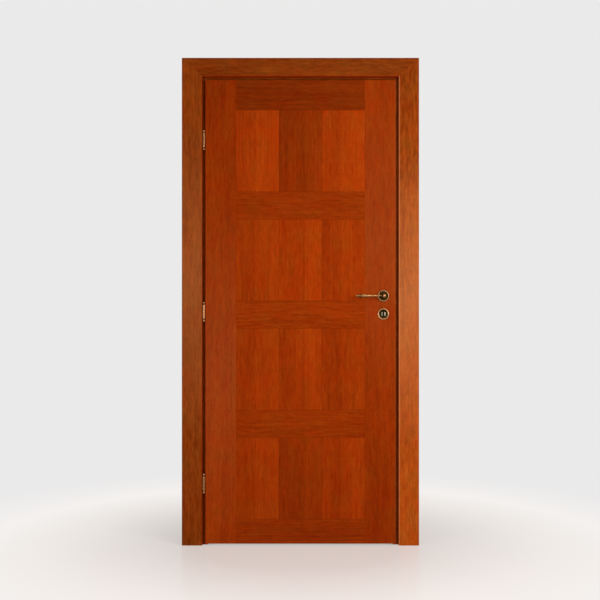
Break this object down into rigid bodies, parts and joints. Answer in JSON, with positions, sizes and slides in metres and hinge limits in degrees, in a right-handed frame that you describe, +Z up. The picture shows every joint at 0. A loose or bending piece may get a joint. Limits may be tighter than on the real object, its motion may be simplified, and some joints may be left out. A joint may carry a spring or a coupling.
{
  "type": "interior door",
  "caption": "Flush veneered door leaf in a rebated wooden frame with casings, barrel hinges, a lever handle on each face and a mortise lock.",
  "frame": {"origin": "on the floor, at the middle of the whole set's width and depth", "axes": "+X from the hinges to the lock, +Y from the pull side into the wall, +Z up"},
  "size_m": [1.0214, 0.1934, 2.1],
  "materials": {
    "jamb_wood": "satin lacquered hardwood",
    "casing_wood": "satin lacquered hardwood",
    "leaf_wood": "satin lacquered hardwood",
    "core": "raw particle board",
    "skin": "raw fibreboard, stained edges",
    "stile_veneer": "satin lacquered veneer, upright grain",
    "cross_veneer": "satin lacquered veneer, level grain",
    "panel_veneer": "satin lacquered veneer, upright grain",
    "antique_brass": "polished high places over a dark patina",
    "bolt_brass": "satin brass",
    "lock_steel": "zinc plated steel",
    "seal": "soft matte rubber"
  },
  "bodies": {
    "frame": {"back_head_casing": "casing_wood", "back_hinge_casing": "casing_wood", "back_lock_casing": "casing_wood", "bottom_hinge_frame_half": "antique_brass", "frame_seal": "seal", "front_head_casing": "casing_wood", "front_hinge_casing": "casing_wood", "front_lock_casing": "casing_wood", "head_jamb": "jamb_wood", "hinge_jamb": "jamb_wood", "lock_jamb": "jamb_wood", "middle_hinge_frame_half": "antique_brass", "strike_plate": "antique_brass", "top_hinge_frame_half": "antique_brass"},
    "leaf": {"back_cross_veneers": "cross_veneer", "back_escutcheon": "antique_brass", "back_rose": "antique_brass", "back_skin": "skin", "back_upright_veneers": "stile_veneer", "bottom_hinge_leaf_half": "antique_brass", "bottom_rail": "leaf_wood", "core_board": "core", "forend": "antique_brass", "forend_screws": "antique_brass", "front_cross_veneer_1": "cross_veneer", "front_cross_veneer_2": "cross_veneer", "front_cross_veneer_3": "cross_veneer", "front_cross_veneer_4": "cross_veneer", "front_cross_veneer_5": "cross_veneer", "front_escutcheon": "antique_brass", "front_hinge_stile_veneer": "stile_veneer", "front_lock_stile_veneer": "stile_veneer", "front_panel_veneer_1_1": "panel_veneer", "front_panel_veneer_1_2": "panel_veneer", "front_panel_veneer_1_3": "panel_veneer", "front_panel_veneer_2_1": "panel_veneer", "front_panel_veneer_2_2": "panel_veneer", "front_panel_veneer_2_3": "panel_veneer", "front_panel_veneer_3_1": "panel_veneer", "front_panel_veneer_3_2": "panel_veneer", "front_panel_veneer_3_3": "panel_veneer", "front_panel_veneer_4_1": "panel_veneer", "front_panel_veneer_4_2": "panel_veneer", "front_panel_veneer_4_3": "panel_veneer", "front_rose": "antique_brass", "front_skin": "skin", "hinge_stile": "leaf_wood", "latch_spring": "lock_steel", "lock_case": "lock_steel", "lock_cover": "lock_steel", "lock_stile": "leaf_wood", "middle_hinge_leaf_half": "antique_brass", "top_hinge_leaf_half": "antique_brass", "top_rail": "leaf_wood"},
    "levers": {"front_lever": "antique_brass", "back_lever": "antique_brass", "spindle": "lock_steel", "follower": "lock_steel"},
    "latch": {"latch_bolt": "bolt_brass"},
    "deadbolt": {"dead_bolt": "bolt_brass"}
  },
  "joints": [
    {"name": "leaf_swing", "type": "hinge", "parent": "frame", "child": "leaf", "pos_m": [-0.416, -0.04025, 1], "axis": [0, 0, -1], "range_deg": [0, 150]},
    {"name": "lever_turn", "type": "hinge", "parent": "leaf", "child": "levers", "pos_m": [0.35725, -0.03925, 1.075], "axis": [0, -1, 0], "range_deg": [0, 45], "stiffness_Nm_per_rad": 1.2, "springref_deg": -34.38},
    {"name": "latch_slide", "type": "slide", "parent": "leaf", "child": "latch", "axis": [-1, 0, 0], "range_m": [0, 0.011], "deforming": ["latch_spring"]},
    {"name": "deadbolt_slide", "type": "slide", "parent": "leaf", "child": "deadbolt", "axis": [1, 0, 0], "range_m": [0, 0.014]}
  ],
  "couplings": [
    {"joint": "latch_slide", "follows": "lever_turn", "m_per_rad": 0.014}
  ]
}
